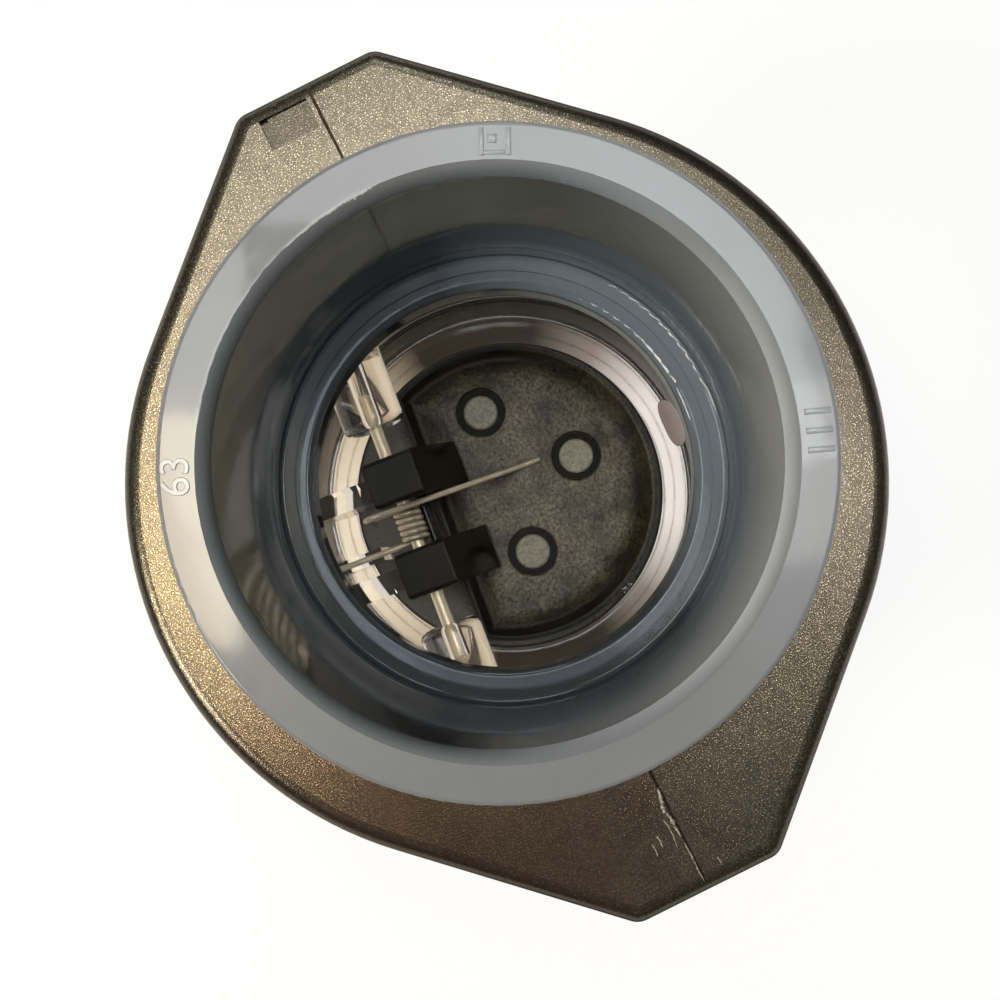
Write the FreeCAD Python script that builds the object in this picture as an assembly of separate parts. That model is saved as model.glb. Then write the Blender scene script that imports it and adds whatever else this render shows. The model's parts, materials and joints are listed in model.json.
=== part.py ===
import FreeCAD, Part

import math
import os

from FreeCAD import Vector

# Swing check valve for 63 mm pipe. It stands on the rim of its inlet socket and the flow goes up.
# Sizes are in millimetres. X runs through the two lugs of the clamp, Z is the axis of the pipe.

# Pipe sockets
pipe_radius = 31.5
socket_clearance = 0.1
socket_depth = 38.0
socket_wall = 5.9
socket_lead_in = 1.5
socket_rim_round = 0.6
stop_corner = 0.8
stop_land_width = 2.2
stop_land_step = 0.5

# Way through the body
throat_radius = 27.0
throat_length = 4.0
throat_edge_round = 1.0
roof_rise = 7.5
roof_clear_height = 6.0
chamber_depth = 42.5
chamber_wall = 4.0
bowl_flare = 8.6
bowl_height = 15.5
outlet_cone_top = 3.0

# Flanges, their register and their ring
flange_width = 8.5
flange_rim_height = 5.8
flange_slope = 0.2
register_width = 1.9
register_depth = 3.0
register_clearance = 0.1
body_ring_radial = 3.2
body_ring_squashed = 2.4
body_ring_land = 3.8
ring_corner = 0.7

# Clamp
clamp_height = 28.0
clamp_wall = 5.9
clamp_clearance = 0.3
clamp_lip_gap = 0.5
clamp_grip_clearance = 0.1
seam_break = 0.25
clamp_edge_round = 3.0
lug_corner_round = 3.3
lug_end_width = 22.6
mark_length = 7.8
mark_width = 4.8
mark_depth = 0.5
mark_slot_width = 1.3
mark_end_wall = 2.9
mark_split_wall = 0.9

# Clamp bolts, M6
bolt_radius = 3.0
bolt_hole_clearance = 0.3
bolt_end_length = 1.6
bolt_end_break = 0.6
bolt_head_flats = 10.0
bolt_head_height = 4.0
hexagon_corner_break = 0.5
nut_height = 5.0
nut_pocket_clearance = 0.15
washer_radius = 6.0
washer_thickness = 1.6
bolt_pocket_clearance = 0.6
bolt_grip = 10.0
bolt_cover = 3.6
bolt_tuck = 0.3

# Seat ring, pushed up from the inlet socket against a lip of the bowl; it is also the pipe stop
seat_margin = 2.1
seat_height = 5.0
seat_skirt_length = 5.5
seat_skirt_step = 2.9
seat_lip = 0.5
seat_fit_gap = 0.05
seat_land_width = 5.2
seat_segment_land = 4.0
seat_ring_groove_depth = 1.6
seat_ring_groove_width = 2.4
seat_edge_break = 0.5

# Flap, its seal and the plate that holds the seal
flap_radius = 27.2
flap_back_setback = 4.4
flap_floor = 3.0
flap_rim_height = 7.0
flap_rim_width = 0.9
dish_side_width = 6.2
seal_thickness = 2.5
seal_inset = 0.2
seal_rest_gap = 0.04
backing_thickness = 2.0
backing_clearance = 2.0
stud_radius = 3.2
stud_inset = 6.2
stud_shift = 2.2
stud_setback = 0.3
stud_edge_break = 0.3
stud_hole_clearance = 0.25
stud_drop = 0.3
lock_ring_radius = 4.4
lock_ring_thickness = 0.8
lock_ring_recess = 1.6

# Hinge
hinge_turn = -6.0
pin_radius = 1.15
pin_setback = 18.0
pin_rise = 19.5
pin_grip = 6.0
pin_end_break = 0.3
pin_bore_clearance = 0.02
pin_running_clearance = 0.06
open_angle = 75.0
ear_gap = 8.4
ear_width = 8.2
ear_shift = 0.3
ear_reach = 4.5
ear_foot = 7.4
ear_root_depth = 1.5
ear_top_length = 4.5
ear_edge_round = 0.8
ear_bar_radius = 1.2
ear_bar_setback = 1.8
boss_radius = 5.5
boss_gap = 5.8
boss_end_round = 1.6
plug_radius = 3.4
plug_length = 5.0
plug_slot_width = 1.0
plug_slot_depth = 0.8

# Stop ribs and the rib under the short leg of the spring
stop_rib_width = 4.0
stop_gap = 0.3
stop_contact_gap = 0.1
stop_slope_length = 2.25
spring_rib_width = 2.4
spring_rib_setback = 2.0

# Torsion spring
wire_radius = 0.53
coil_clearance = 0.3
coil_turns = 5
coil_gap = 0.05
coil_offset = 0.4
coil_leave_angle = 25.0
long_leg_back = 7.0
long_leg_bend = 1.7
long_leg_overhang = 4.2
long_leg_tip = 2.4
long_leg_tip_bend = 3.0
long_leg_skew = 1.4
spring_rest_gap = 0.1
short_leg_wall_gap = 0.6
joint_swell = 1.05

# For picking edges by where they lie
near = 0.01

# Heights of the main levels, from the inlet rim up
web_z = socket_depth + seat_skirt_length
land_z = web_z + seat_height
seat_groove_low_z = (web_z + land_z - seat_ring_groove_width) / 2
seat_groove_high_z = seat_groove_low_z + seat_ring_groove_width
joint_z = land_z + chamber_depth
roof_z = joint_z + roof_clear_height
throat_low_z = roof_z + roof_rise
throat_top_z = throat_low_z + throat_length
outlet_land_z = throat_top_z + throat_edge_round
outlet_stop_z = outlet_land_z + stop_land_step
outlet_rim_z = outlet_stop_z + socket_depth

# Radii that follow from the sizes above
socket_radius = pipe_radius + socket_clearance
socket_outer = socket_radius + socket_wall
seat_ring_outer = flap_radius + seat_margin
seat_pocket_radius = seat_ring_outer + seat_fit_gap
seat_opening = seat_ring_outer - seat_land_width
seat_skirt_radius = seat_opening + seat_skirt_step
seat_groove_inner = seat_ring_outer - seat_ring_groove_depth
bowl_low_radius = seat_ring_outer - seat_lip
chamber_radius = bowl_low_radius + bowl_flare
chamber_outer = chamber_radius + chamber_wall
mid_wall_radius = chamber_outer - chamber_wall / 2
flange_radius = chamber_outer + flange_width
register_radius = chamber_radius + register_width
body_groove_inner = register_radius + body_ring_land - body_ring_radial / 2
body_groove_outer = body_groove_inner + body_ring_radial
clamp_lip_radius = chamber_outer + clamp_lip_gap
clamp_groove_radius = flange_radius + clamp_clearance
clamp_radius = clamp_groove_radius + clamp_wall
bolt_pocket_radius = washer_radius + bolt_pocket_clearance
bolt_x = clamp_groove_radius + washer_radius - bolt_tuck
lug_end = bolt_x + bolt_pocket_radius + bolt_cover

# Places in the frame of the hinge: x along the pin, y towards it, z up
pin_z = land_z + pin_rise
flap_back_y = pin_setback - flap_back_setback
seal_z = land_z + seal_rest_gap
flap_under_z = seal_z + seal_thickness
flap_floor_z = flap_under_z + flap_floor
flap_rim_z = flap_under_z + flap_rim_height
seat_segment_y = flap_back_y - seat_segment_land
dish_floor_radius = flap_radius - flap_rim_width - dish_side_width
dish_back_floor_y = flap_back_y - flap_rim_width - dish_side_width
stud_circle_radius = dish_floor_radius - stud_inset
stud_top_z = flap_floor_z - stud_drop
ear_inner = ear_gap / 2
ear_outer = ear_inner + ear_width
boss_face = ear_outer + boss_gap
pin_end = boss_face + pin_grip
coil_radius = pin_radius + coil_clearance + wire_radius
coil_pitch = 2 * wire_radius + coil_gap
spring_rib_top = pin_z - coil_radius - wire_radius - seat_fit_gap


def section(*steps):
    """Closed face in the XZ plane: (x, z) is a straight run, (mid_x, mid_z, x, z) an arc."""
    edges = []
    here = Vector(steps[0][-2], 0, steps[0][-1])
    for step in steps[1:] + (steps[0][-2:],):
        there = Vector(step[-2], 0, step[-1])
        if len(step) == 4:
            edges.append(Part.Arc(here, Vector(step[0], 0, step[1]), there).toShape())
        elif (there - here).Length > 1e-6:
            edges.append(Part.LineSegment(here, there).toShape())
        here = there
    return Part.Face(Part.Wire(edges))


def turned(*steps):
    return section(*steps).revolve(Vector(0, 0, 0), Vector(0, 0, 1), 360)


def across(low_x, high_x, *steps):
    """Prism along the pin, from a closed outline of (y, z) steps."""
    face = section(*steps)
    face.rotate(Vector(0, 0, 0), Vector(0, 0, 1), 90)
    face.translate(Vector(low_x, 0, 0))
    return face.extrude(Vector(high_x - low_x, 0, 0))


def rod_x(radius, low_x, high_x, y, z):
    return Part.makeCylinder(radius, high_x - low_x, Vector(low_x, y, z), Vector(1, 0, 0))


def disc(radius, low_z, high_z, x=0.0, y=0.0):
    return Part.makeCylinder(radius, high_z - low_z, Vector(x, y, low_z))


def rounded(shape, radius, wanted):
    edges = [edge for edge in shape.Edges if wanted(edge)]
    return shape.makeFillet(radius, edges)


def with_hinge(shape):
    """Turns a piece built in the frame of the hinge to its place in the body."""
    shape.rotate(Vector(0, 0, 0), Vector(0, 0, 1), hinge_turn)
    return shape


def d_disc(radius, back_y, low_z, high_z):
    """Round disc with one straight side, which faces the hinge."""
    half = math.sqrt(radius ** 2 - back_y ** 2)
    left = Vector(-half, back_y, low_z)
    right = Vector(half, back_y, low_z)
    arc = Part.Arc(left, Vector(0, -radius, low_z), right).toShape()
    straight = Part.LineSegment(right, left).toShape()
    return Part.Face(Part.Wire([arc, straight])).extrude(Vector(0, 0, high_z - low_z))


def squashed_ring(inner, outer, low_z, high_z):
    """Rubber ring squashed into its groove: flat against the walls, with its corners off."""
    return turned(
        (inner + ring_corner, low_z),
        (outer - ring_corner, low_z),
        (outer, low_z + ring_corner),
        (outer, high_z - ring_corner),
        (outer - ring_corner, high_z),
        (inner + ring_corner, high_z),
        (inner, high_z - ring_corner),
        (inner, low_z + ring_corner),
    )


def stud_places():
    """The three studs stand round a centre that is shifted along the pin from the middle of the flap."""
    places = []
    for degrees in (0, -90, 180):
        angle = math.radians(degrees)
        x = stud_shift + stud_circle_radius * math.cos(angle)
        y = stud_circle_radius * math.sin(angle) - stud_setback
        places.append((x, y))
    return places


def flange_back_z(radius):
    """Height of a flange's sloping back above the joint, at a radius."""
    return flange_rim_height + flange_slope * (flange_radius - radius)


def side_round(along, away):
    """Radius of an arc that starts along a wall and ends so far along it and so far away from it."""
    return (along ** 2 + away ** 2) / (2 * away)


def quarter_round(x, z, radius, side_x, side_z):
    """Middle of a quarter round about (x, z), which lies on the sides that two signs give."""
    reach = radius * math.sqrt(0.5)
    return x + side_x * reach, z + side_z * reach


def outlet_body():
    """Socket, throat and the roof of the chamber, down to the flange; the flow leaves at the top."""
    back = flange_back_z(chamber_outer)
    lead = socket_radius + socket_lead_in
    land = socket_radius - stop_land_width
    rim_x = socket_outer - socket_rim_round
    rim_z = outlet_rim_z - socket_rim_round
    corner_x = socket_radius - stop_corner
    corner_z = outlet_stop_z + stop_corner
    throat_edge_x = throat_radius + throat_edge_round
    return turned(
        (register_radius - register_clearance, joint_z - register_depth),
        (register_radius - register_clearance, joint_z),
        (flange_radius, joint_z),
        (flange_radius, joint_z + flange_rim_height),
        (chamber_outer, joint_z + back),
        (chamber_outer, throat_low_z),
        (socket_outer, throat_top_z + outlet_cone_top),
        (socket_outer, rim_z),
        (*quarter_round(rim_x, rim_z, socket_rim_round, 1, 1), rim_x, outlet_rim_z),
        (lead, outlet_rim_z),
        (socket_radius, outlet_rim_z - socket_lead_in),
        (socket_radius, corner_z),
        (*quarter_round(corner_x, corner_z, stop_corner, 1, -1), corner_x, outlet_stop_z),
        (land, outlet_stop_z),
        (land, outlet_land_z),
        (throat_edge_x, outlet_land_z),
        (*quarter_round(throat_edge_x, throat_top_z, throat_edge_round, -1, 1), throat_radius, throat_top_z),
        (throat_radius, throat_low_z),
        (chamber_radius, roof_z),
        (chamber_radius, joint_z - register_depth),
    )


def inlet_shell():
    """Socket, pocket of the seat ring, bowl and flange in one turned form."""
    back = flange_back_z(chamber_outer)
    bowl_top = land_z + bowl_height
    bowl_round = side_round(bowl_height, bowl_flare)
    half_turn_up = math.asin(bowl_height / bowl_round) / 2
    bowl_mid_r = chamber_radius - bowl_round * (1 - math.cos(half_turn_up))
    bowl_mid_z = bowl_top - bowl_round * math.sin(half_turn_up)
    lead = socket_radius + socket_lead_in
    rim_x = socket_outer - socket_rim_round
    register_z = joint_z - register_depth - register_clearance
    return turned(
        (lead, 0),
        (rim_x, 0),
        (*quarter_round(rim_x, socket_rim_round, socket_rim_round, 1, -1), socket_outer, socket_rim_round),
        (socket_outer, web_z),
        (chamber_outer, bowl_top - chamber_wall),
        (chamber_outer, joint_z - back),
        (flange_radius, joint_z - flange_rim_height),
        (flange_radius, joint_z),
        (body_groove_outer, joint_z),
        (body_groove_outer, joint_z - body_ring_squashed),
        (body_groove_inner, joint_z - body_ring_squashed),
        (body_groove_inner, joint_z),
        (register_radius, joint_z),
        (register_radius, register_z),
        (chamber_radius, register_z),
        (chamber_radius, bowl_top),
        (bowl_mid_r, bowl_mid_z, bowl_low_radius, land_z),
        (seat_pocket_radius, land_z),
        (seat_pocket_radius, socket_depth),
        (socket_radius, socket_depth),
        (socket_radius, socket_lead_in),
    )


def boss(side):
    """Round boss from the chamber wall that carries one end of the pin."""
    reach = math.sqrt(mid_wall_radius ** 2 - (pin_setback + boss_radius) ** 2)
    shape = rod_x(boss_radius, boss_face, reach, pin_setback, pin_z)
    shape = rounded(shape, boss_end_round, lambda edge: edge.BoundBox.XMax < boss_face + near)
    if side < 0:
        shape = shape.mirror(Vector(0, 0, 0), Vector(1, 0, 0))
    return shape


def wall_rib(centre_x, width, *top):
    """Rib that stands on the bowl and the seat ring and runs back into the chamber wall."""
    front_y = top[-1][0]
    half = width / 2
    rib = across(
        centre_x - half, centre_x + half,
        (front_y, land_z),
        (mid_wall_radius, land_z),
        *top,
    )
    mid_wall = turned(
        (0, land_z),
        (bowl_low_radius + chamber_wall / 2, land_z),
        (mid_wall_radius, land_z + bowl_height),
        (mid_wall_radius, joint_z),
        (0, joint_z),
    )
    return rib.common(mid_wall)


def stop_rib(centre_x):
    """Its sloping top takes the heel of an ear when the flap is fully open."""
    front_y = pin_setback + ear_reach + stop_gap
    lean = math.radians(open_angle)
    reach = ear_reach + stop_contact_gap

    def top_z(y):
        return pin_z - (reach - math.cos(lean) * (y - pin_setback)) / math.sin(lean)

    slope_end = (front_y + stop_slope_length, top_z(front_y + stop_slope_length))
    return wall_rib(
        centre_x, stop_rib_width,
        (mid_wall_radius, slope_end[1]),
        slope_end,
        (front_y, top_z(front_y)),
    )


def spring_rib():
    """The short leg of the spring lies on top of it."""
    front_y = pin_setback + ear_reach + stop_gap + spring_rib_setback
    return wall_rib(
        coil_start_x(), spring_rib_width,
        (mid_wall_radius, spring_rib_top),
        (front_y, spring_rib_top),
    )


def plug_seat_x():
    """Outer end of the plug, just inside the slanting outer wall."""
    return math.sqrt(chamber_outer ** 2 - (pin_setback + plug_radius) ** 2)


def inlet_body():
    shape = inlet_shell()
    ear_middle = (ear_inner + ear_outer) / 2
    stop_ribs = [stop_rib(ear_shift + ear_middle), stop_rib(ear_shift - ear_middle)]
    adds = [boss(1), boss(-1), *stop_ribs, spring_rib()]
    shape = shape.fuse([with_hinge(piece) for piece in adds])
    pin_hole = rod_x(pin_radius + pin_bore_clearance, -pin_end, plug_seat_x(), pin_setback, pin_z)
    plug_hole = rod_x(plug_radius, plug_seat_x() - plug_length, chamber_outer, pin_setback, pin_z)
    return shape.cut([with_hinge(pin_hole), with_hinge(plug_hole)]).removeSplitter()


def pin_plug():
    outer_x = plug_seat_x()
    shape = rod_x(plug_radius, outer_x - plug_length, outer_x, pin_setback, pin_z)
    slot = Part.makeBox(
        plug_slot_depth, 2 * plug_radius, plug_slot_width,
        Vector(outer_x - plug_slot_depth, pin_setback - plug_radius, pin_z - plug_slot_width / 2))
    return with_hinge(shape.cut(slot))


def hinge_pin():
    shape = rod_x(pin_radius, -pin_end, pin_end, pin_setback, pin_z)
    ends = [edge for edge in shape.Edges if edge.BoundBox.XLength < near]
    return with_hinge(shape.makeChamfer(pin_end_break, ends))


def body_o_ring():
    return squashed_ring(body_groove_inner, body_groove_outer, joint_z - body_ring_squashed, joint_z)


def tangent_corner():
    """Where the straight side of a lug leaves the clamp's round outside."""
    end_y = lug_end_width / 2
    distance = math.hypot(lug_end, end_y)
    angle = math.atan2(end_y, lug_end) + math.acos(clamp_radius / distance)
    return clamp_radius * math.cos(angle), clamp_radius * math.sin(angle)


def clamp_blank():
    """Half ring with pointed lugs, on the +Y side, before its groove and holes are cut.

    Its two split faces lie in the plane of the seam, where the halves meet when the bolts are tight.
    """
    low_z = joint_z - clamp_height / 2
    end_y = lug_end_width / 2
    tangent_x, tangent_y = tangent_corner()
    corners = [
        Vector(clamp_lip_radius, 0, low_z),
        Vector(lug_end, 0, low_z),
        Vector(lug_end, end_y, low_z),
        Vector(tangent_x, tangent_y, low_z),
    ]
    mirrored = [Vector(-point.x, point.y, point.z) for point in reversed(corners)]
    edges = [Part.LineSegment(a, b).toShape() for a, b in zip(corners, corners[1:])]
    edges.append(Part.Arc(corners[-1], Vector(0, clamp_radius, low_z), mirrored[0]).toShape())
    edges += [Part.LineSegment(a, b).toShape() for a, b in zip(mirrored, mirrored[1:])]
    edges.append(Part.Arc(mirrored[-1], Vector(0, clamp_lip_radius, low_z), corners[0]).toShape())
    shape = Part.Face(Part.Wire(edges)).extrude(Vector(0, 0, clamp_height))

    def at_lug_corner(edge):
        box = edge.BoundBox
        return box.ZLength > near and abs(abs(box.XMin) - lug_end) < near and box.YMin > end_y - near

    def on_outside(edge):
        box = edge.BoundBox
        far = max(math.hypot(vertex.X, vertex.Y) for vertex in edge.Vertexes)
        return box.ZLength < near and far > clamp_radius - near and box.YMax > near

    shape = rounded(shape, lug_corner_round, at_lug_corner)
    return rounded(shape, clamp_edge_round, on_outside)


def clamp_groove():
    """Space for both flanges, with sloping walls that draw them together."""
    inner = clamp_lip_radius - clamp_lip_gap
    inner_half = flange_back_z(inner) + clamp_grip_clearance
    outer_half = flange_back_z(clamp_groove_radius) + clamp_grip_clearance
    return turned(
        (inner, joint_z - inner_half),
        (clamp_groove_radius, joint_z - outer_half),
        (clamp_groove_radius, joint_z + outer_half),
        (inner, joint_z + inner_half),
    )


def hexagon(flats, low_y, high_y, x):
    corner = flats / math.sqrt(3)
    points = []
    for index in range(7):
        angle = math.radians(60 * index)
        points.append(Vector(x + corner * math.cos(angle), low_y, joint_z + corner * math.sin(angle)))
    return Part.Face(Part.makePolygon(points)).extrude(Vector(0, high_y - low_y, 0))


def rod_y(radius, low_y, high_y, x):
    return Part.makeCylinder(radius, high_y - low_y, Vector(x, low_y, joint_z), Vector(0, 1, 0))


def hexagon_block(low_y, high_y, x):
    """Bolt head or nut, with the corners of both faces turned off."""
    blank = rod_y(bolt_head_flats / math.sqrt(3), low_y, high_y, x)
    ends = [edge for edge in blank.Edges if edge.BoundBox.YLength < near]
    return hexagon(bolt_head_flats, low_y, high_y, x).common(blank.makeChamfer(hexagon_corner_break, ends))


def seam_notches():
    """Broken edges along the seam where the two halves meet, above, below and at both lug ends."""
    top_z = joint_z + clamp_height / 2
    low_z = joint_z - clamp_height / 2
    notches = []
    for face_z, outward in ((top_z, seam_break), (low_z, -seam_break)):
        notches.append(across(
            -lug_end, lug_end,
            (0, face_z - outward),
            (2 * seam_break, face_z + outward),
            (-2 * seam_break, face_z + outward),
        ))
    for side in (1, -1):
        tip = Vector(side * (lug_end - seam_break), 0, low_z)
        far_x = side * (lug_end + seam_break)
        corners = [tip, Vector(far_x, 2 * seam_break, low_z), Vector(far_x, -2 * seam_break, low_z), tip]
        notches.append(Part.Face(Part.makePolygon(corners)).extrude(Vector(0, 0, clamp_height)))
    return notches


def clamp_half():
    """The half on the hinge side: bolt head pocket at +X, nut pocket at -X."""
    outside = 2 * clamp_radius
    hole_radius = bolt_radius + bolt_hole_clearance
    nut_flats = bolt_head_flats + 2 * nut_pocket_clearance
    cuts = seam_notches() + [
        clamp_groove(),
        rod_y(hole_radius, 0, outside, bolt_x),
        rod_y(hole_radius, 0, outside, -bolt_x),
        rod_y(bolt_pocket_radius, bolt_grip, outside, bolt_x),
        hexagon(nut_flats, bolt_grip, outside, -bolt_x),
    ]
    return clamp_blank().cut(cuts)


def mould_mark():
    """Shallow rectangular recess with a deeper slot at its outer end, beside the split."""
    top_z = joint_z + clamp_height / 2
    low_x = lug_end - mark_end_wall - mark_width
    slot_y = mark_split_wall + mark_length - mark_slot_width
    recess_at = Vector(low_x, mark_split_wall, top_z - mark_depth)
    slot_at = Vector(low_x, slot_y, top_z - 2 * mark_depth)
    recess = Part.makeBox(mark_width, mark_length, mark_depth, recess_at)
    return recess.fuse(Part.makeBox(mark_width, mark_slot_width, 2 * mark_depth, slot_at))


def half_turn(shape):
    shape.rotate(Vector(0, 0, 0), Vector(0, 0, 1), 180)
    return shape


def both_bolts(shape):
    """The second bolt goes in from the other side, so it is the first turned half round."""
    return Part.makeCompound([shape, half_turn(shape.copy())])


def clamp_bolt():
    head_y = bolt_grip + washer_thickness
    end_y = -bolt_grip - nut_height - bolt_end_length
    shank = rod_y(bolt_radius, end_y, head_y, bolt_x)
    tip = [edge for edge in shank.Edges if edge.BoundBox.YMax < end_y + near]
    head = hexagon_block(head_y, head_y + bolt_head_height, bolt_x)
    return shank.makeChamfer(bolt_end_break, tip).fuse(head)


def clamp_washer():
    ring = rod_y(washer_radius, bolt_grip, bolt_grip + washer_thickness, bolt_x)
    return ring.cut(rod_y(bolt_radius + bolt_hole_clearance / 2, 0, 2 * bolt_grip, bolt_x))


def clamp_nut():
    block = hexagon_block(-bolt_grip - nut_height, -bolt_grip, bolt_x)
    return block.cut(rod_y(bolt_radius, -2 * bolt_grip - nut_height, 0, bolt_x))


def seat_ring():
    """Short cup with a D-shaped opening in its floor; the flap seals on the floor's upper face."""
    shape = turned(
        (0, web_z),
        (seat_skirt_radius, web_z),
        (seat_skirt_radius, socket_depth),
        (seat_ring_outer, socket_depth),
        (seat_ring_outer, seat_groove_low_z),
        (seat_groove_inner, seat_groove_low_z),
        (seat_groove_inner, seat_groove_high_z),
        (seat_ring_outer, seat_groove_high_z),
        (seat_ring_outer, land_z),
        (0, land_z),
    )
    shape = shape.cut(with_hinge(d_disc(seat_opening, seat_segment_y, web_z, land_z)))

    def opening_edge(edge):
        far = max(math.hypot(vertex.X, vertex.Y) for vertex in edge.Vertexes)
        return edge.BoundBox.ZLength < near and far < seat_opening + near

    return shape.makeChamfer(seat_edge_break, [edge for edge in shape.Edges if opening_edge(edge)])


def seat_o_ring():
    low_z = seat_groove_low_z + seat_fit_gap
    high_z = seat_groove_high_z - seat_fit_gap
    return squashed_ring(seat_groove_inner, seat_pocket_radius, low_z, high_z)


def dish_hollow():
    """The flap's hollow: a flat floor with a concave side all round, also along the straight back.

    The sides rise from the floor as quarter rounds, and the rim of the flap cuts them off.
    """
    side = side_round(dish_side_width, flap_rim_z - flap_floor_z)
    lean = side * (1 - math.sqrt(0.5))
    side_top_z = flap_floor_z + side
    above = side_top_z + flap_rim_height
    round_hollow = turned(
        (0, flap_floor_z),
        (dish_floor_radius, flap_floor_z),
        (dish_floor_radius + side - lean, flap_floor_z + lean, dish_floor_radius + side, side_top_z),
        (dish_floor_radius + side, above),
        (0, above),
    )
    back = across(
        -2 * flap_radius, 2 * flap_radius,
        (dish_back_floor_y, flap_under_z),
        (2 * flap_radius, flap_under_z),
        (2 * flap_radius, above + flap_rim_height),
        (dish_back_floor_y + side, above + flap_rim_height),
        (dish_back_floor_y + side, side_top_z),
        (dish_back_floor_y + side - lean, flap_floor_z + lean, dish_back_floor_y, flap_floor_z),
    )
    return round_hollow.cut(back)


def tangent_point(y, z, radius, side):
    """Point where a line from (y, z) touches the round of that radius about the pin."""
    dy = y - pin_setback
    dz = z - pin_z
    distance = math.hypot(dy, dz)
    angle = math.atan2(dz, dy) + side * math.acos(radius / distance)
    return pin_setback + radius * math.cos(angle), pin_z + radius * math.sin(angle)


def ear(low_x):
    """Arm from the dish floor back over the pin, with a square heel above and behind it."""
    foot_y = flap_back_y - ear_foot
    root_z = flap_floor_z - ear_root_depth
    under_y, under_z = tangent_point(flap_back_y, flap_rim_z, ear_reach, 1)
    mid_angle = math.atan2(under_z - pin_z, under_y - pin_setback) / 2
    mid_y = pin_setback + ear_reach * math.cos(mid_angle)
    mid_z = pin_z + ear_reach * math.sin(mid_angle)
    heel_y = pin_setback + ear_reach
    heel_z = pin_z + ear_reach
    shape = across(
        low_x, low_x + ear_width,
        (foot_y, root_z),
        (flap_back_y, root_z),
        (flap_back_y, flap_rim_z),
        (under_y, under_z),
        (mid_y, mid_z, heel_y, pin_z),
        (heel_y, heel_z),
        (pin_setback - ear_top_length, heel_z),
        (foot_y, flap_floor_z + ear_root_depth),
    )

    def at_top_sides(edge):
        box = edge.BoundBox
        return box.XLength < near and box.ZMax > heel_z - near and box.ZMin > flap_rim_z

    return rounded(shape, ear_edge_round, at_top_sides)


def flap_plate():
    shape = d_disc(flap_radius, flap_back_y, flap_under_z, flap_rim_z)
    shape = shape.cut(dish_hollow())
    bar_end = ear_inner + ear_width / 2
    bar_y = flap_back_y + ear_bar_setback
    bar_z = pin_z - ear_reach - ear_bar_radius
    bar = rod_x(ear_bar_radius, ear_shift - bar_end, ear_shift + bar_end, bar_y, bar_z)
    shape = shape.fuse([ear(ear_shift + ear_inner), ear(ear_shift - ear_outer), bar])
    recess_z = flap_floor_z - lock_ring_recess
    cuts = [rod_x(pin_radius + pin_running_clearance, -flap_radius, flap_radius, pin_setback, pin_z)]
    for x, y in stud_places():
        cuts.append(disc(stud_radius + stud_hole_clearance, flap_under_z, flap_floor_z, x, y))
        cuts.append(disc(lock_ring_radius + stud_hole_clearance, recess_z, flap_rim_z, x, y))
    return with_hinge(shape.cut(cuts).removeSplitter())


def flap_seal():
    shape = d_disc(flap_radius - seal_inset, flap_back_y - seal_inset, seal_z, flap_under_z)
    holes = [disc(stud_radius, seal_z, flap_under_z, x, y) for x, y in stud_places()]
    return with_hinge(shape.cut(holes))


def seal_backing_plate():
    plate_radius = seat_opening - backing_clearance
    low_z = seal_z - backing_thickness
    shape = d_disc(plate_radius, seat_segment_y - backing_clearance, low_z, seal_z)
    studs = [disc(stud_radius, low_z, stud_top_z, x, y) for x, y in stud_places()]
    shape = shape.fuse(studs).removeSplitter()
    tops = [edge for edge in shape.Edges if edge.BoundBox.ZMin > stud_top_z - near]
    return with_hinge(shape.makeChamfer(stud_edge_break, tops))


def stud_lock_rings():
    low_z = flap_floor_z - lock_ring_recess
    rings = []
    for x, y in stud_places():
        ring = disc(lock_ring_radius, low_z, low_z + lock_ring_thickness, x, y)
        rings.append(ring.cut(disc(stud_radius, low_z, flap_floor_z, x, y)))
    return with_hinge(Part.makeCompound(rings))


def coil_turn_total():
    return coil_turns + (180.0 - coil_leave_angle) / 360.0


def coil_start_x():
    return coil_offset - coil_turn_total() * coil_pitch / 2


def swept(path, frenet):
    """Round wire along a path."""
    first = path.Edges[0]
    start = first.valueAt(first.FirstParameter)
    circle = Part.makeCircle(wire_radius, start, first.tangentAt(first.FirstParameter))
    return path.makePipeShell([Part.Wire(circle)], True, frenet)


def coil():
    turns = coil_turn_total()
    helix = Part.makeLongHelix(coil_pitch, turns * coil_pitch, coil_radius, 0, True)
    helix.rotate(Vector(0, 0, 0), Vector(0, 1, 0), 90)
    helix.translate(Vector(coil_start_x(), pin_setback, pin_z))
    return swept(Part.Wire(helix), True)


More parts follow.
